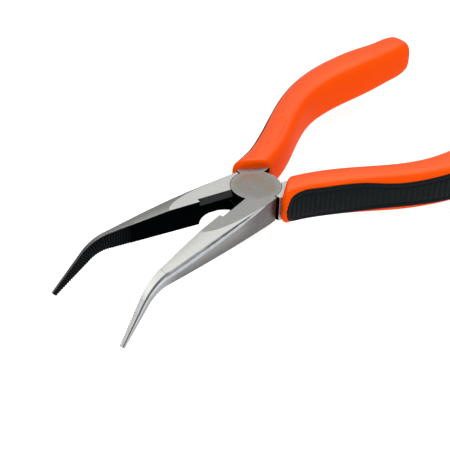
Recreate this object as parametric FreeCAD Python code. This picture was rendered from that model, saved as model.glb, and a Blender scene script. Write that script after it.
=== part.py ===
import FreeCAD, Part
import math
import os

# Long-nose pliers with a nose bent down by 45 degrees, a side cutter and two-component grips.
# Millimetres. Z is the rivet axis, the underside of the joint is Z = 0 and +X runs along the nose,
# halfway between the jaws. Each half is drawn in the closed position with its jaw at Y > 0,
# and is then mirrored and opened.

V = FreeCAD.Vector

# driving dimensions of the joint
THICK = 9.7                 # joint thickness
DISC_R = 9.0                # radius of the lap discs
SEAM = 0.2                  # play between a disc and the shoulder round it
LAP_GAP = 0.1               # play between the two discs
HALF_OPEN = 13.0            # degrees that each jaw stands off the middle
MEET_GAP = 0.05             # each gripping face stands this far off the closing plane
JAW_SHOULDER = 78.6         # degrees from +X to the jaw's stop shoulder
TANG_SHOULDER = 108.6       # degrees from +X to the other half's stop shoulder
ROOT_HALF_WIDTH = 10.0      # half width over the shoulders
ROOT_CORNER = (5.0, 9.85)   # where the shoulder width starts to fall towards the nose

# rivet
SHAFT_R = 3.4
HEAD_R = 4.6
HEAD_DEPTH = 1.5
RUNNING_PLAY = 0.04

# jaw
ROOT_X = 8.0                # where the tapering nose starts
ROOT_OVERLAP = 0.3          # the root block reaches this far into the nose
ROOT_WIDTH = 9.5            # width of one jaw there
TAPER = 0.075               # narrowing per millimetre at the root
TAPER_BULGE = 0.00105       # and how fast the narrowing grows
BEND_X = 56.8               # where the bend starts
BEND_R = 13.4
TIP_ANGLE = 44.7            # degrees below the joint plane
TIP_LENGTH = 16.8           # straight length after the bend
TOP_FALL = 0.092            # slope of the top crest
TOP_FLAT_X = 34.0           # the crest meets the ground top face here
BOTTOM_RISE = 0.032
BOTTOM_FLAT_X = 20.0
CROWN = 1.05                # fall of the rounded top from the gripping face to the outer edge
CROWN_GROWTH = 0.054        # more fall per millimetre towards the joint
CROWN_X = 33.0              # from here on the crown keeps its height
UNDER_CROWN = 0.36          # the same fall on the underside at the root
UNDER_CROWN_GROWTH = 0.009  # and its growth towards the tip
TIP_CROWN = 0.3
EDGE_ROUND = 0.7            # rounding of the outer edges over most of the nose
ROOT_EDGE = 0.15            # sharper rounding at the root
EDGE_GROWTH = 0.022
TIP_EDGE = 0.3
BAND = 3.4                  # height of the leaning band under the top edge, in edge roundings
BAND_LIMIT = 0.42           # and at most this share of the side face
TIP_HALF_HEIGHT = 0.9
TIP_WIDTH = 1.45
BEND_END_WIDTH = 2.3

# teeth and cutter
TOOTH_PITCH = 0.95
TOOTH_DEPTH = 0.3
TEETH_START = 49.5
TEETH_STOP = 0.6            # plain land left at the tip
CUTTER_END = 22.4
CUTTER_DROP = 1.9           # cutting edge below the top face
CUTTER_TOP_RELIEF = 1.6
CUTTER_LOWER_RELIEF = 4.5
SCOOP_START = 6.0           # the scoop under the cutting edge begins here
SCOOP_DEEPEST = 0.72        # share of the cutter length where it is deepest
OVERSHOOT = 0.5             # cutting shapes pass the surface by this much

# handle: x, distance of the centre line from the middle, half width, half height,
# rise of the centre over the middle of the joint
HANDLE = [
    (2.0, 7.9, 6.4, 7.2, 0.9),
    (-13.0, 7.7, 5.8, 7.6, 0.5),
    (-25.0, 9.9, 6.1, 7.75, 0.35),
    (-37.5, 13.8, 6.0, 7.9, 0.2),
    (-49.0, 17.5, 6.0, 8.0, 0.0),
    (-60.0, 19.8, 6.3, 8.0, 0.0),
    (-72.0, 20.1, 6.9, 8.2, 0.0),
    (-85.0, 18.2, 7.4, 8.4, 0.0),
    (-98.0, 15.0, 7.4, 8.3, 0.0),
    (-110.0, 11.8, 6.6, 7.8, 0.0),
    (-117.0, 10.4, 6.2, 7.4, 0.0),
    (-121.5, 9.7, 5.2, 6.3, 0.0),
]
GRIP_SQUARENESS = 3.0       # exponent of the rounded-box section
SECTION_POINTS = 16
GRIP_FRONT = [(-1.6, 13.6), (-12.8, 1.9)]   # slanting front end, seen from above
FRONT_ROUND = 1.8
END_ROUND = 2.5

# soft inlay on the outer side of the grip
INLAY_THICK = 2.0
RIM_WIDTH = 1.1
RIB_DEPTH = 0.6
RIB_PITCH = 2.0
RIB_SLOT = 0.9
RIB_FIRST = 9.0             # along the handle's centre line
RIB_LAST = 114.0
# its outline seen from the side: x, height over the middle of the joint
INLAY_TOP = [(-5.0, 0.0), (-5.3, 2.4), (-6.4, 4.9), (-9.5, 6.25), (-18.0, 6.4), (-28.0, 6.5),
             (-34.0, 6.35), (-43.5, 5.35), (-54.0, 5.3), (-70.0, 6.0), (-88.0, 6.4), (-102.0, 5.6),
             (-110.0, 3.6), (-113.0, 0.0)]
INLAY_BOTTOM = [(-5.0, 0.0), (-5.2, -2.2), (-6.4, -4.5), (-10.5, -5.8), (-19.0, -6.1), (-30.0, -5.7),
                (-40.0, -5.1), (-50.0, -5.1), (-60.0, -5.5), (-72.0, -6.0), (-88.0, -6.4),
                (-102.0, -5.6), (-110.0, -3.6), (-113.0, 0.0)]

# steel inside the grip
TANG_SPAN = (-112.0, -10.0)
TANG_HALF_WIDTH = 3.0
TANG_THICK = 6.0
TANG_STOP_REACH = 0.4       # the root block passes the shoulder width by this much
# outline of the root block behind the stop shoulder, from its outer corner round to its inner one
TANG_ROOT = [(-12.0, -11.0), (-20.0, -11.4), (-20.0, -6.4), (-12.5, -2.4), (-8.0, -2.4)]

FAR = 60.0                  # half size of the shapes that only divide or cut

MID_Z = THICK / 2


def polygon_face(points):
    return Part.Face(Part.makePolygon([V(*p) for p in points] + [V(*points[0])]))


def disc(radius, low, high):
    return Part.makeCylinder(radius, high - low, V(0, 0, low))


def jaw_width(s):
    """Width of one jaw before the bend, a gently bulging taper."""
    return ROOT_WIDTH - TAPER * (s - ROOT_X) - TAPER_BULGE * (s - ROOT_X) ** 2


def crest_drops(x):
    """How far the rounded top and the rounded underside have fallen at the outer edge."""
    top = CROWN + CROWN_GROWTH * max(0.0, CROWN_X - x)
    return top, UNDER_CROWN + UNDER_CROWN_GROWTH * (x - ROOT_X)


def crest_top(x):
    return THICK - TOP_FALL * (x - TOP_FLAT_X)


def crest_bottom(x):
    return BOTTOM_RISE * (x - BOTTOM_FLAT_X)


def start_angle():
    """Downward slope of the line halfway between the crests."""
    return math.atan((TOP_FALL - BOTTOM_RISE) / 2)


def path_lengths():
    """Path length from ROOT_X to the start of the bend, to its end and to the tip."""
    straight = (BEND_X - ROOT_X) / math.cos(start_angle())
    bend = BEND_R * (math.radians(TIP_ANGLE) - start_angle())
    return straight, straight + bend, straight + bend + TIP_LENGTH


def path_frame(t):
    """Point, forward and upward direction at the path length t past ROOT_X."""
    to_bend, to_straight, _ = path_lengths()
    first = start_angle()
    angle = first + min(max(0.0, t - to_bend) / BEND_R, math.radians(TIP_ANGLE) - first)
    run = min(t, to_bend)
    rest = max(0.0, t - to_straight)
    x = ROOT_X + run * math.cos(first) + BEND_R * (math.sin(angle) - math.sin(first))
    z = (crest_top(ROOT_X) + crest_bottom(ROOT_X)) / 2 - run * math.sin(first)
    z += BEND_R * (math.cos(angle) - math.cos(first))
    ahead = V(math.cos(angle), 0, -math.sin(angle))
    return V(x, 0, z) + ahead * rest, ahead, V(math.sin(angle), 0, math.cos(angle))


def nose_size(t):
    """Half height, width, top and bottom crest drops and edge rounding at the path length t."""
    to_bend, to_straight, to_tip = path_lengths()
    if t <= to_bend:
        x = path_frame(t)[0].x
        edge = min(EDGE_ROUND, ROOT_EDGE + EDGE_GROWTH * (x - ROOT_X))
        return (crest_top(x) - crest_bottom(x)) / 2, jaw_width(x), crest_drops(x), edge
    bend_height = (crest_top(BEND_X) - crest_bottom(BEND_X)) / 2
    share = (t - to_bend) / (to_tip - to_bend)
    if t <= to_straight:
        part = (t - to_bend) / (to_straight - to_bend)
        width = jaw_width(BEND_X) + (BEND_END_WIDTH - jaw_width(BEND_X)) * part
    else:
        part = (t - to_straight) / (to_tip - to_straight)
        width = BEND_END_WIDTH + (TIP_WIDTH - BEND_END_WIDTH) * part
    drops = [drop * (1 - share) + TIP_CROWN * share for drop in crest_drops(BEND_X)]
    height = bend_height * (1 - share) + TIP_HALF_HEIGHT * share
    return height, width, drops, EDGE_ROUND * (1 - share) + TIP_EDGE * share


def nose_section(t):
    """Flat gripping side, crowned top and underside, and a side face that leans in at its top."""
    origin, _, up = path_frame(t)
    height, width, drops, edge = nose_size(t)
    shoulder = width - edge
    band = min(BAND * edge, BAND_LIMIT * (2 * height - drops[0] - drops[1]))

    def at(y, z):
        return origin + V(0, y, 0) + up * z

    def half(sign, drop, knee_height):
        """Crowned face and the rounding down to the side face."""
        def crest(y):
            return height - drop * (y / width) ** 2
        low = crest(width) - knee_height
        rise = crest(shoulder) - low
        radius = (edge ** 2 + rise ** 2) / (2 * edge)
        lean = math.asin(min(1.0, rise / radius)) / 2
        middle = at(width - radius * (1 - math.cos(lean)), sign * (low + radius * math.sin(lean)))
        crown = Part.Arc(at(MEET_GAP, sign * height), at(shoulder / 2, sign * crest(shoulder / 2)),
                         at(shoulder, sign * crest(shoulder)))
        knee = Part.Arc(at(shoulder, sign * crest(shoulder)), middle, at(width, sign * low))
        return [crown.toShape(), knee.toShape()], at(width, sign * low)

    top, side_top = half(1, drops[0], band)
    bottom, side_bottom = half(-1, drops[1], edge)
    inner = Part.makeLine(at(MEET_GAP, -height), at(MEET_GAP, height))
    ring = top + [Part.makeLine(side_top, side_bottom)] + bottom[::-1] + [inner]
    return Part.Wire(Part.__sortEdges__(ring))


def nose():
    """The tapering jaw from the joint to the bent tip, with its flat ground faces."""
    to_bend, to_straight, to_tip = path_lengths()
    spans = []
    for start, end, steps in ((0, to_bend, 5), (to_bend, to_straight, 4), (to_straight, to_tip, 2)):
        sections = [nose_section(start + (end - start) * k / steps) for k in range(steps + 1)]
        spans.append(Part.makeLoft(sections, True, False))
    slab = Part.makeBox(BEND_X, 2 * FAR, THICK, V(0, -FAR, 0))
    straight = spans[0].common(slab)
    return straight.fuse(spans[1:])


def teeth():
    """Fine serrations across the gripping face, from the straight part to the tip."""
    grooves = []
    t = TEETH_START - ROOT_X
    last = path_lengths()[2] - TEETH_STOP
    half = TOOTH_PITCH / 3
    while t < last:
        origin, ahead, up = path_frame(t)
        height = nose_size(t)[0] + OVERSHOOT
        base = origin - up * height + V(0, MEET_GAP, 0)
        outside = V(0, -OVERSHOOT, 0)
        corners = [base - ahead * half, base + V(0, TOOTH_DEPTH, 0), base + ahead * half,
                   base + ahead * half + outside, base - ahead * half + outside]
        face = Part.Face(Part.makePolygon(corners + [corners[0]]))
        grooves.append(face.extrude(up * 2 * height))
        t += TOOTH_PITCH
    return grooves


def cutter_reliefs():
    """The short upper bevel and the deep scooped lower bevel on either side of the cutting edge."""
    edge_z = THICK - CUTTER_DROP
    upper_reach = CUTTER_TOP_RELIEF * (1 + OVERSHOOT / CUTTER_DROP)
    upper = polygon_face([(0, MEET_GAP, edge_z), (0, MEET_GAP + upper_reach, THICK + OVERSHOOT),
                          (0, -OVERSHOOT, THICK + OVERSHOOT),
                          (0, -OVERSHOOT, edge_z)]).extrude(V(CUTTER_END, 0, 0))
    lower_reach = CUTTER_LOWER_RELIEF * (1 + OVERSHOOT / edge_z)
    below = polygon_face([(0, MEET_GAP, edge_z), (0, MEET_GAP + lower_reach, -OVERSHOOT),
                          (0, -OVERSHOOT, -OVERSHOOT),
                          (0, -OVERSHOOT, edge_z)]).extrude(V(CUTTER_END + OVERSHOOT, 0, 0))
    start, end = V(SCOOP_START, 0, -OVERSHOOT), V(CUTTER_END, 0, -OVERSHOOT)
    deepest = V(SCOOP_DEEPEST * CUTTER_END, CUTTER_LOWER_RELIEF, -OVERSHOOT)
    back = V(0, -OVERSHOOT, 0)
    plan = [Part.Arc(end, deepest, start).toShape(), Part.makeLine(start, start + back),
            Part.makeLine(start + back, end + back), Part.makeLine(end + back, end)]
    scoop = Part.Face(Part.Wire(plan)).extrude(V(0, 0, THICK + 2 * OVERSHOOT))
    return upper, below.common(scoop)


def centre_line():
    """Middle of the handle seen from above, at the height of the middle of the joint."""
    curve = Part.BSplineCurve()
    curve.interpolate([V(row[0], -row[1], MID_Z) for row in HANDLE])
    return curve


def handle_section(row, inset):
    """Rounded-box section of the grip, square to the handle's centre line."""
    x, y, half_width, half_height, rise = row
    curve = centre_line()
    along = curve.tangent(curve.parameter(V(x, -y, MID_Z)))[0]
    across = V(along.y, -along.x, 0)
    power = 2 / GRIP_SQUARENESS
    ring = []
    for k in range(SECTION_POINTS):
        angle = 2 * math.pi * (k + 0.5) / SECTION_POINTS
        c, s = math.cos(angle), math.sin(angle)
        side = math.copysign(abs(c) ** power, c) * (half_width - inset)
        height = math.copysign(abs(s) ** power, s) * (half_height - inset)
        ring.append(V(x, -y, MID_Z + rise + height) + across * side)
    outline = Part.BSplineCurve()
    outline.interpolate(ring, PeriodicFlag=True)
    return Part.Wire([outline.toShape()])


def handle_loft(inset):
    return Part.makeLoft([handle_section(row, inset) for row in HANDLE], True, False)


def behind_front():
    """Everything behind the slanting front end of the grip."""
    (x0, y0), (x1, y1) = GRIP_FRONT
    slope = (x1 - x0) / (y1 - y0)
    back = -3 * FAR
    block = polygon_face([(x0 - slope * (FAR + y0), FAR, -FAR), (x0 + slope * (FAR - y0), -FAR, -FAR),
                          (back, -FAR, -FAR), (back, FAR, -FAR)])
    return block.extrude(V(0, 0, 2 * FAR))


def end_edges(solid, is_front):
    """The outline edges of the flat front or rear end."""
    faces = [f for f in solid.Faces if isinstance(f.Surface, Part.Plane)]
    faces.sort(key=lambda f: f.CenterOfMass.x)
    return faces[-1].Edges if is_front else faces[0].Edges


def grip_blank():
    """The whole grip with its ends rounded, before the inlay and the tang are taken out."""
    solid = handle_loft(0).common(behind_front())
    solid = solid.makeFillet(FRONT_ROUND, end_edges(solid, True))
    return solid.makeFillet(END_ROUND, end_edges(solid, False))


def inlay_window(margin):
    """Side outline of the soft inlay, narrowed by a margin and swept across the handle."""
    first, last = INLAY_TOP[0][0], INLAY_TOP[-1][0]
    middle = (first + last) / 2
    shrink = 1 - 2 * margin / (first - last)
    edges = []
    for outline, sign in ((INLAY_TOP, 1), (INLAY_BOTTOM, -1)):
        points = [V(middle + (x - middle) * shrink, -FAR, MID_Z + sign * max(0.0, abs(z) - margin))
                  for x, z in outline]
        curve = Part.BSplineCurve()
        curve.interpolate(points)
        edges.append(curve.toShape())
    return Part.Face(Part.Wire(Part.__sortEdges__(edges))).extrude(V(0, FAR, 0))


def outer_side():
    """The half of the handle that lies outside its centre line."""
    curve = centre_line()
    first, last = curve.value(curve.FirstParameter), curve.value(curve.LastParameter)
    beyond = V(2 * OVERSHOOT, 0, 0)
    corners = [last, last - beyond, V(last.x, -FAR, MID_Z) - beyond,
               V(first.x, -FAR, MID_Z) + beyond, first + beyond, first]
    edges = [curve.toShape()]
    edges += [Part.makeLine(a, b) for a, b in zip(corners, corners[1:])]
    face = Part.Face(Part.Wire(Part.__sortEdges__(edges)))
    face.translate(V(0, 0, -FAR / 2))
    return face.extrude(V(0, 0, FAR))


def rib_slots(blank):
    """Shallow slots across the inlay inside its plain rim."""
    curve = centre_line()
    field = blank.common(inlay_window(RIM_WIDTH)).common(outer_side()).cut(handle_loft(RIB_DEPTH))
    slots = []
    distance = RIB_FIRST
    while distance < RIB_LAST:
        place_on_line = curve.parameterAtDistance(distance, curve.FirstParameter)
        along = curve.tangent(place_on_line)[0]
        slat = Part.makeBox(RIB_SLOT, FAR, FAR, V(-RIB_SLOT / 2, -FAR, -FAR / 2))
        slat.rotate(V(0, 0, 0), V(0, 0, 1), math.degrees(math.atan2(-along.y, -along.x)))
        slat.translate(curve.value(place_on_line))
        slots.append(slat.common(field))
        distance += RIB_PITCH
    return Part.makeCompound(slots)


def tang():
    """Root block behind the joint and the narrow tang that runs inside the grip."""
    stop = math.radians(TANG_SHOULDER)
    reach = ROOT_HALF_WIDTH + TANG_STOP_REACH
    outline = [(0, 0), (reach * math.cos(stop) / math.sin(stop), -reach)] + TANG_ROOT
    root = polygon_face([(x, y, 0) for x, y in outline]).extrude(V(0, 0, THICK))
    stations = [row for row in HANDLE if TANG_SPAN[0] < row[0] < TANG_SPAN[1]]
    rows = [[V(row[0], -(row[1] + side * TANG_HALF_WIDTH), MID_Z - TANG_THICK / 2) for row in stations]
            for side in (1, -1)]
    edges = []
    for row in rows:
        curve = Part.BSplineCurve()
        curve.interpolate(row)
        edges.append(curve.toShape())
    edges += [Part.makeLine(rows[0][k], rows[1][k]) for k in (0, -1)]
    bar = Part.Face(Part.Wire(Part.__sortEdges__(edges))).extrude(V(0, 0, TANG_THICK))
    return root.fuse(bar)


def jaw_root():
    """Full-thickness block between the joint and the nose, ending at the stop shoulder."""
    stop = math.radians(JAW_SHOULDER)
    end = ROOT_X + ROOT_OVERLAP
    shoulder = (ROOT_HALF_WIDTH * math.cos(stop) / math.sin(stop), ROOT_HALF_WIDTH)
    outline = [(0, MEET_GAP), (end, MEET_GAP), (end, jaw_width(end)), ROOT_CORNER, shoulder]
    return polygon_face([(x, y, 0) for x, y in outline]).extrude(V(0, 0, THICK))


def forging(has_upper_disc):
    """One half of the pliers in the closed position, its jaw at Y > 0 and its handle at Y < 0."""
    split = MID_Z + LAP_GAP / 2 if has_upper_disc else MID_Z - LAP_GAP / 2
    own = (split, THICK) if has_upper_disc else (0, split)
    other = (-OVERSHOOT, split) if has_upper_disc else (split, THICK + OVERSHOOT)
    body = jaw_root().fuse([tang(), nose()]).cut(disc(DISC_R + SEAM, other[0], other[1]))
    for relief in cutter_reliefs():
        body = body.cut(relief)
    return body.fuse(disc(DISC_R, own[0], own[1])).removeSplitter().cut(teeth())


def rivet(play):
    """Rivet with a countersunk head at both ends, ground flush with the joint."""
    shaft = disc(SHAFT_R + play, 0, THICK)
    low = Part.makeCone(HEAD_R + play, SHAFT_R + play, HEAD_DEPTH)
    high = Part.makeCone(SHAFT_R + play, HEAD_R + play, HEAD_DEPTH, V(0, 0, THICK - HEAD_DEPTH))
    return shaft.fuse([low, high]).removeSplitter()


def grip_parts():
    """The orange grip body and the black inlay let into its outer side."""
    blank = grip_blank()
    shell = blank.common(inlay_window(0)).common(outer_side()).cut(handle_loft(INLAY_THICK))
    inlay = shell.cut(rib_slots(blank))
    return blank.cut(shell), inlay


def place(shape, is_b):
    """Mirror the second half over and open the jaws."""
    result = shape.mirror(V(0, 0, 0), V(0, 1, 0)) if is_b else shape.copy()
    result.rotate(V(0, 0, 0), V(0, 0, 1), -HALF_OPEN if is_b else HALF_OPEN)
    return result


os.makedirs("parts", exist_ok=True)
pin = rivet(0)
body, inlay = grip_parts()
for name, is_b in (("a", False), ("b", True)):
    half = forging(not is_b)
    half = half.cut(rivet(RUNNING_PLAY) if is_b else pin)
    place(half, is_b).exportStep("parts/lever_%s.step" % name)
    place(body.cut(tang()), is_b).exportStep("parts/grip_%s.step" % name)
    place(inlay.cut(tang()), is_b).exportStep("parts/inlay_%s.step" % name)
pin.exportStep("parts/pivot_rivet.step")
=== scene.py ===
import math
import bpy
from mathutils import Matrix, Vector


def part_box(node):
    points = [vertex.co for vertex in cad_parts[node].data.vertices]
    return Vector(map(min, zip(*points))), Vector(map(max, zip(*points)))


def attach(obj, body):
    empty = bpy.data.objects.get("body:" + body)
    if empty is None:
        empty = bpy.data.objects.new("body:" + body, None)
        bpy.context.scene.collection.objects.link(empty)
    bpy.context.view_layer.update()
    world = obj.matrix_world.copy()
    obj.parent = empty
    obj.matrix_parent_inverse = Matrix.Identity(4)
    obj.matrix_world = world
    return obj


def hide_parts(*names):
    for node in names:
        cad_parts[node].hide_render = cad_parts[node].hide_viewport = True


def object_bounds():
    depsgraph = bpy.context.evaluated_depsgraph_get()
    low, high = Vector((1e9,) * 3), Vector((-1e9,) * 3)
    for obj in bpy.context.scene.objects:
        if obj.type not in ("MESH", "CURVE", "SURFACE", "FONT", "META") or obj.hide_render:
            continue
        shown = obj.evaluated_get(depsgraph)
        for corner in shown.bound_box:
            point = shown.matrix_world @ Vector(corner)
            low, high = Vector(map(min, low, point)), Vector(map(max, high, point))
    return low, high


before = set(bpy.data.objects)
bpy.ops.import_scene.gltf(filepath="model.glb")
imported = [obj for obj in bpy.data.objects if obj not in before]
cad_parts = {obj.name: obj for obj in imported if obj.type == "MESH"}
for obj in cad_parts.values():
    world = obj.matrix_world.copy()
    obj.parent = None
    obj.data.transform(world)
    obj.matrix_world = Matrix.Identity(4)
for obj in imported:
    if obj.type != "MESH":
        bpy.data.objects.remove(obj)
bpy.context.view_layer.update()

from types import SimpleNamespace
import bpy
import numpy as np
from mathutils import Matrix, Vector, kdtree

# Bent long-nose pliers: ground steel halves, orange grips and black ribbed inlays.
# The halves and the rivet keep their own meshes; the grips and the inlays get finer ones, worked out
# in millimetres for the closed pliers and then opened.
MM = 0.001
JOINT_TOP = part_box("pivot_rivet")[1].z / MM
MID_Z = JOINT_TOP / 2
HALF_OPEN = math.radians(13.0)
BEND_X = 56.8               # the nose bends down from here

# --- handle: x, distance of the centre line from the middle, half width, half height,
# rise of the centre over the middle of the joint
HANDLE = [
    (2.0, 7.9, 6.4, 7.2, 0.9), (-13.0, 7.7, 5.8, 7.6, 0.5), (-25.0, 9.9, 6.1, 7.75, 0.35),
    (-37.5, 13.8, 6.0, 7.9, 0.2), (-49.0, 17.5, 6.0, 8.0, 0.0), (-60.0, 19.8, 6.3, 8.0, 0.0),
    (-72.0, 20.1, 6.9, 8.2, 0.0), (-85.0, 18.2, 7.4, 8.4, 0.0), (-98.0, 15.0, 7.4, 8.3, 0.0),
    (-110.0, 11.8, 6.6, 7.8, 0.0), (-117.0, 10.4, 6.2, 7.4, 0.0), (-121.5, 9.7, 5.2, 6.3, 0.0),
]
SQUARENESS = 3.0            # exponent of the rounded-box section
FRONT = ((-1.6, 13.6), (-12.8, 1.9))    # slanting front end, seen from above
FRONT_ROUND = 1.8
END_ROUND = 2.6
SIDE_REACH = 0.97           # the outer side goes up and down to this share of the half height

# --- side outline of the inlay: x, height over the middle of the joint
INLAY_TOP = [(-5.0, 0.0), (-5.3, 2.4), (-6.4, 4.9), (-9.5, 6.25), (-18.0, 6.4), (-28.0, 6.5),
             (-34.0, 6.35), (-43.5, 5.35), (-54.0, 5.3), (-70.0, 6.0), (-88.0, 6.4), (-102.0, 5.6),
             (-110.0, 3.6), (-113.0, 0.0)]
INLAY_BOTTOM = [(-5.0, 0.0), (-5.2, -2.2), (-6.4, -4.5), (-10.5, -5.8), (-19.0, -6.1), (-30.0, -5.7),
                (-40.0, -5.1), (-50.0, -5.1), (-60.0, -5.5), (-72.0, -6.0), (-88.0, -6.4),
                (-102.0, -5.6), (-110.0, -3.6), (-113.0, 0.0)]
POCKET_DEPTH = 0.9          # the grip is sunk this far under its inlay
POCKET_WALL = 0.3
INLAY_THICK = 1.6
EDGE_ROLL = 0.5             # rounding of the inlay's own edge
EDGE_DIP = 0.45
PROUD = 0.22                # the rim stands this far out of the grip
RIM_WIDTH = 1.5
FIELD_DEPTH = 0.62
FIELD_WALL = (-0.45, 0.2)   # where its wall begins and ends, counted from the end of the rim
RIB_HEIGHT = 0.36
RIB_PITCH = 2.0
RIB_END = (0.1, 0.9)        # where the ribs begin and reach their height, counted from the end of the rim
RIB_FLANK = (0.1, 0.6)      # where a rib's side begins and ends, as shares of half the pitch

# --- plain recessed panel on the top of one grip
PANEL_AT = -31.5            # x of its middle
PANEL_SHIFT = 0.4           # it lies this far inside the centre line
PANEL_SIZE = (7.4, 1.9)     # half length and half width
PANEL_DEPTH = 0.38
PANEL_WALL = 0.2            # half width of its wall

# --- mesh resolution
FRONT_RINGS = 12
BODY_RINGS = 479
REAR_RINGS = 9
AROUND_GRIP = 180
ALONG_INLAY = 560
ACROSS_INLAY = 72
UNDER_STEP = 12             # the hidden underside of the inlay has one place for this many above
CENTRE_STEPS = 1600         # places at which the handle's centre line is worked out
OUTLINE_STEPS = 3000        # places along each side outline of the inlay
INSIDE_STEPS = 1200         # places at which the two outlines are compared
BORDER_STEPS = 1300         # places of each outline in the search tree
FAR_OFF = 9.0               # read as the distance of places that are not looked at

# --- camera
AZIMUTH = math.radians(136.07)
ELEVATION = math.radians(35.97)
ROLL = math.radians(2.47)
DISTANCE = 559.0 * MM
JOINT_RIGHT = 10.83 * MM    # the joint stands this far right of and above the middle of the picture
JOINT_UP = 13.94 * MM
LENS = 127.7

# --- lights: name, place, target, size, power
LIGHTS = [
    ("overhead", (0.0, 0.1, 1.0), (0.0, 0.1, 0.0), (2.2, 1.8), 20),
    ("low", (-0.55, 0.6, 0.13), (0.02, 0.0, 0.0), (0.9, 0.25), 0.8),
    ("front", (0.5, 0.6, 0.55), (0.0, 0.0, 0.0), (0.5, 0.4), 0.9),
]
WORLD_STRENGTH = 0.35
FLOOR_REACH = 3.0

# --- where masks of the steel begin and end, in millimetres of x or of radius round the rivet
JAW_START = (0.5, 1.0)
TANG_FRONT = (-5.2, -5.0)
RIM_END = (9.3, 9.35)
STOP_END = (4.0, 4.2)
TEETH_START = (44.0, 57.0)
# where the painted shade line along the crease begins and where it grows fainter
CREASE_SHADE_START = (8.0, 20.0)
CREASE_SHADE_FAINTER = (34.0, 42.0)
DULL_CENTRE = (6.0, 9.2)
STAIN_END = (7.5, 11.0)
EDGE_START = (5.0, 5.4)     # the rivet's own edge gets no rubbed-bright painted highlight

# --- tints of the steel
WARM, COOL, PLAIN = (1.0, 0.998, 0.965), (0.955, 0.99, 1.03), (1.0, 0.99, 0.975)


def smooth(low, high, value):
    t = np.clip((value - low) / (high - low), 0, 1)
    return t * t * (3 - 2 * t)


def ease(share):
    """Shares from 0 to 1, drawn together at both ends."""
    return 0.5 - 0.5 * np.cos(np.pi * share)


def steps_to_one(count):
    return np.linspace(0, 1, count + 1)[1:]


def natural_spline(knots, values):
    """A curve through the values at the knots; returns a function that reads it at any place."""
    t, y = np.asarray(knots, float), np.asarray(values, float)
    h = np.diff(t)
    n = len(t)
    system, right = np.eye(n), np.zeros(n)
    for i in range(1, n - 1):
        system[i, i - 1:i + 2] = h[i - 1], 2 * (h[i - 1] + h[i]), h[i]
        right[i] = 6 * ((y[i + 1] - y[i]) / h[i] - (y[i] - y[i - 1]) / h[i - 1])
    bend = np.linalg.solve(system, right)

    def read(at):
        k = np.clip(np.searchsorted(t, at) - 1, 0, n - 2)
        a, b = (t[k + 1] - at) / h[k], (at - t[k]) / h[k]
        sag = ((a ** 3 - a) * bend[k] + (b ** 3 - b) * bend[k + 1]) * h[k] ** 2 / 6
        return a * y[k] + b * y[k + 1] + sag
    return read


def lengths_along(points):
    return np.concatenate([[0], np.cumsum(np.hypot(*np.diff(np.asarray(points), axis=0).T))])


class Handle:
    """The handle's surface, read at s millimetres along its centre line and a turn round it.

    Turn 0 points outward and a quarter turn points up.
    """

    def __init__(self):
        rows = np.array(HANDLE)
        chord = lengths_along(rows[:, :2])
        fine = np.linspace(0, chord[-1], CENTRE_STEPS)
        self.x, self.y, self.half_width, self.half_height, self.rise = (
            natural_spline(chord, column)(fine) for column in rows.T)
        self.s = lengths_along(np.stack([self.x, self.y], 1))
        self.dx, self.dy = np.gradient(self.x, self.s), np.gradient(self.y, self.s)
        self.length = self.s[-1]
        self.cut = self.front_cut()

    def read(self, column, s):
        return np.interp(s, self.s, column)

    def axis(self, s):
        """Centre-line point and outward unit vector, seen from above."""
        dx, dy = self.read(self.dx, s), self.read(self.dy, s)
        size = np.hypot(dx, dy)
        return self.read(self.x, s), self.read(self.y, s), dy / size, -dx / size

    def front_cut(self):
        """The slanting front end: distance along the centre line against offset outward."""
        (x0, y0), (x1, y1) = FRONT
        widest, farthest = 9, 30
        offsets = np.linspace(-widest, widest, 37)
        s = np.linspace(0, farthest, 601)
        x, y, ox, oy = self.axis(s)
        found = []
        for offset in offsets:
            side = (x + ox * offset - x0) * (y1 - y0) - (y + oy * offset - y0) * (x1 - x0)
            found.append(s[np.argmin(np.abs(side))])
        return np.poly1d(np.polyfit(offsets, found, 2))

    def radius(self, s, turn, inset):
        a, b = self.read(self.half_width, s) - inset, self.read(self.half_height, s) - inset
        c, d = np.abs(np.cos(turn)) / a, np.abs(np.sin(turn)) / b
        return (c ** SQUARENESS + d ** SQUARENESS) ** (-1 / SQUARENESS)

    def turn_at(self, s, height):
        """Turn of the place on the outer side at that height over the middle of the joint."""
        a, b = self.read(self.half_width, s), self.read(self.half_height, s)
        up = np.clip((height - self.read(self.rise, s)) / b, -SIDE_REACH, SIDE_REACH)
        return np.arctan2(up * b, a * (1 - np.abs(up) ** SQUARENESS) ** (1 / SQUARENESS))

    def along(self, x, height):
        """Distance along the centre line of the place seen at x and that height from the side."""
        s = np.interp(-x, -self.x, self.s)
        for _ in range(8):
            turn = self.turn_at(s, height)
            cx, _, ox, _ = self.axis(s)
            s = s + (cx + ox * self.radius(s, turn, 0) * np.cos(turn) - x)
        return s, turn

    def point(self, s, turn, inset):
        """Place in the closed position, in millimetres, for the handle at Y > 0."""
        out, up = self.radius(s, turn, inset) * np.cos(turn), self.radius(s, turn, inset) * np.sin(turn)
        x, y, ox, oy = self.axis(s)
        return np.stack([x + ox * out, y + oy * out, MID_Z + self.read(self.rise, s) + up], -1)


handle = Handle()


def to_frame(points, side):
    """Row-frame metres of closed-position millimetres; side is 1 at Y > 0 and -1 at Y < 0."""
    angle = -HALF_OPEN * side
    c, d = math.cos(angle), math.sin(angle)
    x, y, z = points[..., 0], points[..., 1] * side, points[..., 2]
    return np.stack([c * x - d * y, d * x + c * y, z], -1) * MM


def outline_curve(outline, count):
    """Many places along the upper or lower line of the inlay's side outline."""
    lengths = lengths_along(outline)
    fine = np.linspace(0, lengths[-1], count)
    return [natural_spline(lengths, column)(fine) for column in np.array(outline).T]


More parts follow.
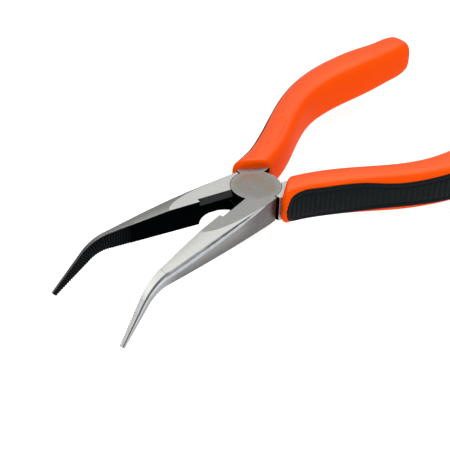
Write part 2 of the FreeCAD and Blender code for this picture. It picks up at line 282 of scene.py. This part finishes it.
def outline_lines(count):
    """The inlay's upper and lower outline at the same x places, close together at both ends."""
    once = ease(np.linspace(0, 1, count))
    first, last = INLAY_TOP[0][0], INLAY_TOP[-1][0]
    x = first + (last - first) * (0.65 * once + 0.35 * ease(once))
    lines = []
    for outline in (INLAY_TOP, INLAY_BOTTOM):
        line_x, line_z = outline_curve(outline, OUTLINE_STEPS)
        lines.append(np.interp(-x, np.maximum.accumulate(-line_x), line_z))
    return x, lines[0], lines[1]


def border_tree():
    """Search tree of places along the inlay's border on the handle's plain surface."""
    places = np.concatenate([handle.point(*handle.along(*outline_curve(outline, BORDER_STEPS)), 0)
                             for outline in (INLAY_TOP, INLAY_BOTTOM)])
    tree = kdtree.KDTree(len(places))
    for k, place in enumerate(places):
        tree.insert(place, k)
    tree.balance()
    return tree


BORDER = border_tree()


def border_distance(points, wanted):
    """Distance of the wanted points from the inlay's border; the others read as far off."""
    flat = points.reshape(-1, 3)
    result = np.full(len(flat), FAR_OFF)
    for k in np.where(wanted.reshape(-1))[0]:
        result[k] = BORDER.find(flat[k])[2]
    return result.reshape(points.shape[:-1])


def front_rounding(turn, arc):
    """Place and inset over the front edge's rounding; arc runs from 0 on the side to 1 on the front."""
    corner = 8.0            # a first guess, made better twice
    for _ in range(2):
        corner = handle.cut(handle.radius(corner, turn, 0) * np.cos(turn))
    slope = -handle.cut.deriv()(handle.radius(corner, turn, 0) * np.cos(turn)) * np.cos(turn)
    angle = np.arccos(slope / np.sqrt(1 + slope ** 2))
    sweep = (math.pi - angle) * arc
    place = corner + FRONT_ROUND / np.tan(angle / 2) - FRONT_ROUND * np.sin(sweep)
    return place, FRONT_ROUND * (1 - np.cos(sweep))


def inside_inlay(points):
    """Whether places on the outer side lie inside the inlay's outline, seen from the side."""
    x, top, bottom = outline_lines(INSIDE_STEPS)
    height = points[..., 2] - MID_Z
    low, high = np.interp(-points[..., 0], -x, bottom), np.interp(-points[..., 0], -x, top)
    within = (points[..., 0] < x[0]) & (points[..., 0] > x[-1])
    return within & (height > low) & (height < high)


def panel_depth(points, turn):
    """Plain shallow panel sunk into the top of the grip."""
    s = np.interp(-points[..., 0], -handle.x, handle.s)
    _, middle_y, _, _ = handle.axis(s)
    along = np.abs(points[..., 0] - PANEL_AT) - PANEL_SIZE[0]
    across = np.abs(points[..., 1] - middle_y + PANEL_SHIFT) - PANEL_SIZE[1]
    beyond = np.hypot(np.maximum(along, 0), np.maximum(across, 0))
    beyond = beyond + np.minimum(np.maximum(along, across), 0)
    return PANEL_DEPTH * (1 - smooth(-PANEL_WALL, PANEL_WALL, beyond)) * (np.sin(turn) > 0)


def grip_body(side, name, body, node, material):
    """The moulded grip: rounded front and rear, sunk where its inlay lies."""
    arc = np.concatenate([np.linspace(1, 0, FRONT_RINGS), np.zeros(BODY_RINGS + REAR_RINGS)])[:, None]
    share = np.concatenate([np.zeros(FRONT_RINGS), steps_to_one(BODY_RINGS), np.ones(REAR_RINGS)])[:, None]
    rear = np.concatenate([np.zeros(FRONT_RINGS + BODY_RINGS), steps_to_one(REAR_RINGS)])[:, None]
    turn = np.linspace(0, 2 * np.pi, AROUND_GRIP, endpoint=False)[None, :] * np.ones_like(arc)
    start, front_inset = front_rounding(turn, arc)
    rear_turn = rear * np.pi / 2
    s = start * (1 - share) + (handle.length - END_ROUND) * share + END_ROUND * np.sin(rear_turn)
    rounding = front_inset + END_ROUND * (1 - np.cos(rear_turn))
    plain = handle.point(s, turn, 0)
    inside = inside_inlay(plain) & (np.cos(turn) > 0)
    distance = border_distance(plain, inside)
    inset = rounding + POCKET_DEPTH * smooth(0.0, POCKET_WALL, distance) * inside
    if side < 0:
        inset = inset + panel_depth(plain, turn)
    points = handle.point(s, turn, inset)
    return loft_object(name, to_frame(points, side), body, node, material, side < 0)


def inlay(side, name, body, node, material):
    """The soft inlay: a rolled edge, a plain rim and a sunk field with ribs across it."""
    x, top, bottom = (line[1:-1, None] for line in outline_lines(ALONG_INLAY))
    even = np.linspace(0, 1, ACROSS_INLAY)
    share = (0.45 * ease(even) + 0.55 * even)[None, :]
    first, turn_top = handle.along(x, top)
    last, turn_bottom = handle.along(x, bottom)
    s = first * share + last * (1 - share)
    turn = turn_top * share + turn_bottom * (1 - share)
    distance = border_distance(handle.point(s, turn, 0), np.ones(s.shape, bool))
    roll = 1 - np.sqrt(1 - np.clip(1 - distance / EDGE_ROLL, 0, 1) ** 2)
    field = smooth(RIM_WIDTH + FIELD_WALL[0], RIM_WIDTH + FIELD_WALL[1], distance)
    wave = smooth(*RIB_FLANK, np.abs((s / RIB_PITCH) % 1.0 - 0.5) * 2)
    ribs = smooth(RIM_WIDTH + RIB_END[0], RIM_WIDTH + RIB_END[1], distance) * wave
    inset = EDGE_DIP * roll - PROUD * (1 - roll) + field * FIELD_DEPTH - ribs * RIB_HEIGHT
    under = handle.point(s[:, ::-UNDER_STEP], turn[:, ::-UNDER_STEP], INLAY_THICK)
    points = np.concatenate([handle.point(s, turn, inset), under], 1)
    return loft_object(name, to_frame(points, side), body, node, material, side < 0)


def loft_object(name, points, body, node, material, flip):
    """A closed mesh from rings of points, with its two ends fanned to their middles."""
    count, width = points.shape[:2]
    verts = list(map(tuple, points.reshape(-1, 3)))
    faces = []
    for i in range(count - 1):
        low, high = i * width, (i + 1) * width
        for j in range(width):
            k = (j + 1) % width
            faces.append((low + j, high + j, high + k, low + k))
    for row, ahead in ((0, True), (count - 1, False)):
        verts.append(tuple(points[row].mean(0)))
        centre, base = len(verts) - 1, row * width
        for j in range(width):
            k = (j + 1) % width
            faces.append((base + j, base + k, centre) if ahead else (base + k, base + j, centre))
    if flip:
        faces = [face[::-1] for face in faces]
    mesh = bpy.data.meshes.new(name)
    mesh.from_pydata(verts, [], faces)
    mesh.polygons.foreach_set("use_smooth", [True] * len(mesh.polygons))
    mesh.update()
    obj = bpy.data.objects.new(name, mesh)
    bpy.context.scene.collection.objects.link(obj)
    obj.data.materials.append(material)
    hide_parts(node)
    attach(obj, body)
    return obj


# --- materials
class Nodes:
    """Small helper for building a procedural material."""

    def __init__(self, name):
        self.material = bpy.data.materials.new(name)
        self.material.use_nodes = True
        self.tree = self.material.node_tree
        self.shader = self.tree.nodes["Principled BSDF"]
        place = self.tree.nodes.new("ShaderNodeTexCoord")
        self.spot, self.normal = place.outputs["Object"], place.outputs["Normal"]

    def add(self, kind, inputs, **settings):
        node = self.tree.nodes.new(kind)
        for key, value in settings.items():
            setattr(node, key, value)
        for key, value in inputs.items():
            self.feed(node.inputs[key], value)
        return node

    def feed(self, socket, value):
        if isinstance(value, bpy.types.NodeSocket):
            self.tree.links.new(value, socket)
        else:
            socket.default_value = value

    def maths(self, operation, *values):
        return self.add("ShaderNodeMath", dict(enumerate(values)), operation=operation).outputs[0]

    def times(self, first, *others):
        for other in others:
            first = self.maths("MULTIPLY", first, other)
        return first

    def invert(self, value):
        return self.maths("SUBTRACT", 1.0, value)

    def ramp(self, value, low, high):
        """0 below low and 1 above high, smoothly."""
        node = self.add("ShaderNodeMapRange", {"Value": value, "From Min": low, "From Max": high},
                        interpolation_type="SMOOTHSTEP")
        return node.outputs["Result"]

    def noise(self, vector, scale, detail, roughness):
        node = self.add("ShaderNodeTexNoise",
                        {"Vector": vector, "Scale": scale, "Detail": detail, "Roughness": roughness})
        return node.outputs["Fac"]

    def speckle(self, vector, scale, detail, roughness):
        """Noise with more contrast, from 0 to 1."""
        return self.ramp(self.noise(vector, scale, detail, roughness), 0.3, 0.7)

    def stretch(self, vector, scale):
        return self.add("ShaderNodeMapping", {"Vector": vector, "Scale": scale}).outputs["Vector"]

    def split(self, vector):
        return self.add("ShaderNodeSeparateXYZ", {"Vector": vector}).outputs

    def mix(self, factor, a, b):
        inputs = {"Factor": factor, 6: a, 7: b}
        return self.add("ShaderNodeMix", inputs, data_type="RGBA").outputs[2]

    def shades(self, factor, level, low, high, tint):
        """From low to high shares of one grey level."""
        return self.mix(factor, grey(level * low, tint), grey(level * high, tint))

    def blend(self, factor, a, b):
        inputs = {"Factor": factor, 2: a, 3: b}
        return self.add("ShaderNodeMix", inputs, data_type="FLOAT").outputs[0]

    def bump(self, height, strength, distance):
        node = self.add("ShaderNodeBump", {"Height": height, "Strength": strength, "Distance": distance})
        self.tree.links.new(node.outputs["Normal"], self.shader.inputs["Normal"])

    def set(self, **values):
        for key, value in values.items():
            self.feed(self.shader.inputs[key.replace("_", " ")], value)


def grey(level, tint):
    return (level * tint[0], level * tint[1], level * tint[2], 1.0)


def steel_places(n, side):
    """Masks for the places of one half, from where a point lies and how it faces when closed."""
    at = SimpleNamespace()
    turn = HALF_OPEN * side
    at.coords, facing = (n.add("ShaderNodeVectorRotate", {"Vector": vector, "Angle": -turn},
                               rotation_type="Z_AXIS").outputs[0] for vector in (n.spot, n.normal))
    spot, look = n.split(at.coords), n.split(facing)
    outward = n.times(look[1], float(side))
    inward = n.times(outward, -1.0)
    at.x, at.z = n.maths("DIVIDE", spot[0], MM), n.maths("DIVIDE", spot[2], MM)
    at.radius = n.maths("DIVIDE", n.maths("SQRT", n.maths("ADD", n.times(spot[0], spot[0]),
                                                          n.times(spot[1], spot[1]))), MM)
    level = n.maths("ABSOLUTE", look[2])
    upright = n.ramp(n.invert(level), 0.6, 0.7)
    at.flat = n.ramp(level, 0.9985, 0.9996)
    # unground dark places: the gripping side, the sides of the tang, the disc's rim and the stops
    scooped = n.times(n.ramp(inward, -0.08, 0.0), upright)
    inner = n.times(n.maths("MAXIMUM", n.ramp(inward, 0.28, 0.42), scooped), n.ramp(at.x, *JAW_START))
    tang_side = n.times(n.ramp(outward, 0.3, 0.4), n.invert(n.ramp(at.x, *TANG_FRONT)))
    rim = n.times(upright, n.invert(n.ramp(at.radius, *RIM_END)))
    stop = n.times(n.ramp(n.maths("ABSOLUTE", look[0]), 0.8, 0.9),
                   n.invert(n.ramp(n.maths("ABSOLUTE", at.x), *STOP_END)))
    at.dark = n.maths("MAXIMUM", n.maths("MAXIMUM", inner, stop), n.maths("MAXIMUM", tang_side, rim))
    # painted light: inner faces that turn upward, such as the bevel over the cutting edge, are drawn
    # lighter, and so are the slanted walls of the teeth
    at.bevel = n.times(inner, n.ramp(look[2], 0.25, 0.4))
    at.tooth = n.times(n.ramp(at.x, *TEETH_START), n.ramp(outward, -0.9, -0.8))
    # the outer side: a shoulder that leans in under the top edge, with a painted shade line along the
    # crease at its upper end
    at.nose = n.ramp(at.x, BEND_X - 2, BEND_X + 5)
    at.flank = n.invert(n.ramp(look[2], 0.0, 0.16))
    at.shoulder = n.ramp(n.maths("SUBTRACT", outward, n.blend(at.nose, 0.9, 0.48)), -0.02, 0.02)
    at.crease = n.times(at.shoulder, n.ramp(look[2], 0.05, 0.1), n.invert(n.ramp(outward, 0.93, 0.955)),
                        n.ramp(at.x, *CREASE_SHADE_START))
    return at


def steel_grain(n, coords):
    """Grinding marks across and along the nose, and grain without a direction."""
    cell = n.add("ShaderNodeTexVoronoi", {"Vector": n.spot, "Scale": 95.0}).outputs["Distance"]
    return SimpleNamespace(
        grit=n.speckle(n.spot, 2900, 3, 0.7),
        cloud=n.speckle(n.spot, 900, 4, 0.7),
        cross=n.speckle(n.stretch(coords, (2600, 420, 420)), 1.0, 3, 0.6),
        drag=n.speckle(n.stretch(coords, (260, 1500, 1500)), 1.0, 3, 0.6),
        blotch=n.ramp(n.noise(n.spot, 210, 5, 0.65), 0.48, 0.6),
        pit=n.invert(n.ramp(cell, 0.022, 0.04)))


def outer_steel(n, at, grain, facet_level, nose_level, side_level):
    """The rounded top of the nose, a painted highlight band under its edge and the side face, with painted
    light on the bent tip, the upper side and near the bend.
    """
    facet = n.shades(grain.cross, facet_level, 0.93, 1.07, WARM)
    # painted reflection: the top of the bent tip gets its own grey level
    facet = n.mix(n.ramp(at.x, BEND_X + 2, BEND_X + 12), facet, grey(nose_level, WARM))
    # painted highlight: a bright band where the side leans in under the edge, brighter again on the bent
    # tip
    highlight_band = n.shades(grain.drag, side_level, 2.5, 3.1, COOL)
    highlight_band = n.mix(at.nose, highlight_band, grey(side_level * 3.6, COOL))
    face = n.shades(grain.cloud, side_level, 0.8, 1.1, PLAIN)
    # painted light: the upper part of the side face is drawn lighter
    high = n.times(n.ramp(at.z, 1.5, 6.5), n.ramp(at.x, 12.0, 24.0))
    face = n.mix(high, face, grey(side_level * 1.55, (1, 1, 0.99)))
    # painted light: the side face is drawn lighter again near the bend
    face = n.mix(n.ramp(at.x, BEND_X - 6, BEND_X + 4), face, grey(side_level * 2.2, COOL))
    return n.mix(at.shoulder, facet, n.mix(at.flank, highlight_band, face))


def flat_steel(n, at, grain, flat_level):
    """The ground flat face, duller over the joint and with a faint brown stain there."""
    ground = n.shades(grain.grit, flat_level, 0.88, 1.12, WARM)
    centre = n.invert(n.ramp(at.radius, *DULL_CENTRE))
    ground = n.mix(n.times(centre, 0.5), ground, grey(flat_level * 0.66, (1.0, 0.985, 0.88)))
    stain = n.times(grain.blotch, n.invert(n.ramp(at.radius, *STAIN_END)))
    return n.mix(n.times(stain, n.blend(grain.grit, 0.3, 0.85)), ground, grey(flat_level, (1.0, 0.68, 0.4)))


def dark_steel(n, at, grain):
    """Phosphated black, with painted light: a little lighter on the upward-facing bevel over the cutting
    edge and on the slanted walls of the teeth.
    """
    black = n.mix(grain.grit, grey(0.0006, (0.7, 1, 1.2)), grey(0.0022, (0.7, 1, 1.2)))
    black = n.mix(at.bevel, black, grey(0.028, (0.96, 1.0, 1.02)))
    return n.mix(at.tooth, black, grey(0.014, (0.9, 1.0, 1.1)))


def worn_and_highlit_edges(n, at, grain):
    """Sharp edges rubbed bright, partly wear and partly a painted highlight, except where the nose starts
    to bend.
    """
    rounded = n.add("ShaderNodeBevel", {"Radius": 0.00016}, samples=6).outputs["Normal"]
    true_normal = n.add("ShaderNodeNewGeometry", {}).outputs["Normal"]
    meet = n.add("ShaderNodeVectorMath", {0: rounded, 1: true_normal}, operation="DOT_PRODUCT")
    edge = n.times(n.ramp(n.invert(meet.outputs["Value"]), 0.01, 0.06), n.ramp(at.radius, *EDGE_START),
                   n.invert(at.dark))
    off_bend = n.ramp(n.maths("ABSOLUTE", n.maths("SUBTRACT", at.x, BEND_X)), 0.5, 0.8)
    return n.times(edge, off_bend, n.ramp(grain.grit, 0.2, 0.6))


def steel_material(name, side, flat_level, facet_level, nose_level, side_level):
    """Ground steel with dark unground places, and painted highlights and shade on the outer faces."""
    n = Nodes(name)
    at = steel_places(n, side)
    grain = steel_grain(n, at.coords)
    colour = n.mix(at.flat, outer_steel(n, at, grain, facet_level, nose_level, side_level),
                   flat_steel(n, at, grain, flat_level))
    colour = n.mix(n.times(grain.pit, n.invert(at.flat)), colour, grey(side_level * 0.3, (1, 1, 1)))
    colour = n.mix(at.dark, colour, dark_steel(n, at, grain))
    colour = n.mix(n.times(worn_and_highlit_edges(n, at, grain), 0.5), colour, grey(0.62, WARM))
    # painted shade: a dark line along the crease under the top edge, weaker past x 42 mm up to the bend
    crease_shade_strength = n.blend(at.nose, n.blend(n.ramp(at.x, *CREASE_SHADE_FAINTER), 0.9, 0.6), 0.85)
    colour = n.mix(n.times(at.crease, crease_shade_strength), colour, grey(0.05, COOL))

    rough = n.blend(at.shoulder, n.blend(grain.cross, 0.4, 0.5), n.blend(grain.drag, 0.34, 0.46))
    rough = n.blend(at.flat, rough, n.blend(grain.grit, 0.46, 0.56))
    n.set(Base_Color=colour, Roughness=n.blend(at.dark, rough, 0.6), Metallic=n.invert(at.dark),
          Specular_IOR_Level=n.blend(at.bevel, 0.0, 0.1), Specular_Tint=(0.55, 0.55, 0.55, 1))
    side_relief = n.blend(at.flank, grain.drag, grain.cloud)
    n.bump(n.blend(at.flat, n.blend(at.shoulder, grain.cross, side_relief), grain.grit), 0.22, 0.00004)
    return n.material


def grip_material():
    """Satin moulded plastic with a very fine texture and slight tone changes."""
    n = Nodes("grip_orange")
    tone = n.noise(n.spot, 55, 3, 0.5)
    grain = n.noise(n.spot, 2600, 3, 0.6)
    facing_up = n.ramp(n.split(n.normal)[2], 0.75, 0.98)
    base = n.mix(tone, (0.76, 0.062, 0.002, 1), (0.8, 0.075, 0.003, 1))
    n.set(Base_Color=n.mix(n.times(grain, 0.1), base, (0.9, 0.1, 0.006, 1)),
          Roughness=n.blend(grain, 0.4, 0.5), Specular_IOR_Level=n.blend(facing_up, 0.01, 0.62),
          Specular_Tint=(1.0, 0.88, 0.5, 1))
    n.bump(grain, 0.12, 0.00005)
    return n.material


def inlay_material():
    """Matte black soft plastic, a little lighter in a fine random grain."""
    n = Nodes("inlay_black")
    grain = n.noise(n.spot, 3800, 3, 0.6)
    dust = n.noise(n.spot, 300, 4, 0.6)
    base = n.mix(dust, (0.002, 0.0035, 0.0045, 1), (0.004, 0.006, 0.0075, 1))
    n.set(Base_Color=n.mix(n.times(grain, 0.3), base, (0.012, 0.013, 0.014, 1)),
          Roughness=n.blend(grain, 0.5, 0.66), Specular_IOR_Level=0.085,
          Specular_Tint=(0.85, 1.0, 1.0, 1))
    n.bump(grain, 0.3, 0.00008)
    return n.material


def floor_material():
    """White paper that glows a little, so that it stays pale under the pliers."""
    n = Nodes("floor_white")
    paper = n.noise(n.spot, 900, 2, 0.5)
    n.set(Base_Color=n.mix(paper, (0.5, 0.5, 0.5, 1), (0.54, 0.54, 0.54, 1)), Roughness=0.9,
          Specular_IOR_Level=0.0, Emission_Color=(1, 1, 1, 1), Emission_Strength=0.74)
    return n.material


# --- studio
def make_camera():
    back = Vector((math.sin(AZIMUTH) * math.cos(ELEVATION), -math.cos(AZIMUTH) * math.cos(ELEVATION),
                   math.sin(ELEVATION)))
    level_right = (-back).cross(Vector((0, 0, 1))).normalized()
    level_up = level_right.cross(-back)
    right = level_right * math.cos(ROLL) + level_up * math.sin(ROLL)
    up = level_up * math.cos(ROLL) - level_right * math.sin(ROLL)
    data = bpy.data.cameras.new("camera")
    data.sensor_width = 36
    data.lens = LENS
    data.clip_start = 0.01
    data.clip_end = 10
    camera = bpy.data.objects.new("camera", data)
    bpy.context.scene.collection.objects.link(camera)
    place = Vector((0, 0, JOINT_TOP * MM)) + back * DISTANCE - right * JOINT_RIGHT - up * JOINT_UP
    camera.matrix_world = Matrix.Translation(place) @ Matrix((right, up, back)).transposed().to_4x4()
    bpy.context.scene.camera = camera


def area_light(name, place, target, size, power):
    data = bpy.data.lights.new(name, "AREA")
    data.shape = "RECTANGLE"
    data.size, data.size_y = size
    data.energy = power
    light = bpy.data.objects.new(name, data)
    bpy.context.scene.collection.objects.link(light)
    light.location = place
    light.rotation_euler = (Vector(target) - Vector(place)).to_track_quat("-Z", "Y").to_euler()


def make_floor():
    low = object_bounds()[0].z
    corners = [(x * FLOOR_REACH, y * FLOOR_REACH, low) for x, y in ((-1, -1), (1, -1), (1, 1), (-1, 1))]
    mesh = bpy.data.meshes.new("floor")
    mesh.from_pydata(corners, [], [(0, 1, 2, 3)])
    floor = bpy.data.objects.new("floor", mesh)
    bpy.context.scene.collection.objects.link(floor)
    floor.data.materials.append(floor_material())


def make_studio():
    make_floor()
    for light in LIGHTS:
        area_light(*light)
    world = bpy.data.worlds.new("world")
    bpy.context.scene.world = world
    world.use_nodes = True
    background = world.node_tree.nodes["Background"]
    background.inputs["Color"].default_value = (1, 1, 1, 1)
    background.inputs["Strength"].default_value = WORLD_STRENGTH
    bpy.context.scene.view_settings.view_transform = "Standard"


def dress(node, material):
    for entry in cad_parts[node].material_slots:
        entry.material = material


# half a has its jaw at Y > 0 and its grip at Y < 0, and half b the other way round
# painted reflection: the two halves get different grey levels for faces of the same steel, the flat of half
# a darker and the bent tip of half b darker, for how each catches the light
steel_a = steel_material("steel_a", 1, flat_level=0.36, facet_level=0.44, nose_level=0.57, side_level=0.16)
steel_b = steel_material("steel_b", -1, flat_level=0.6, facet_level=0.4, nose_level=0.13, side_level=0.16)
dress("lever_a", steel_a)
dress("lever_b", steel_b)
dress("pivot_rivet", steel_a)
orange, black = grip_material(), inlay_material()
for side, letter in ((-1, "a"), (1, "b")):
    body = "half_" + letter
    grip_body(side, "grip_body_" + letter, body, "grip_" + letter, orange)
    inlay(side, "grip_inlay_" + letter, body, "inlay_" + letter, black)
make_camera()
make_studio()
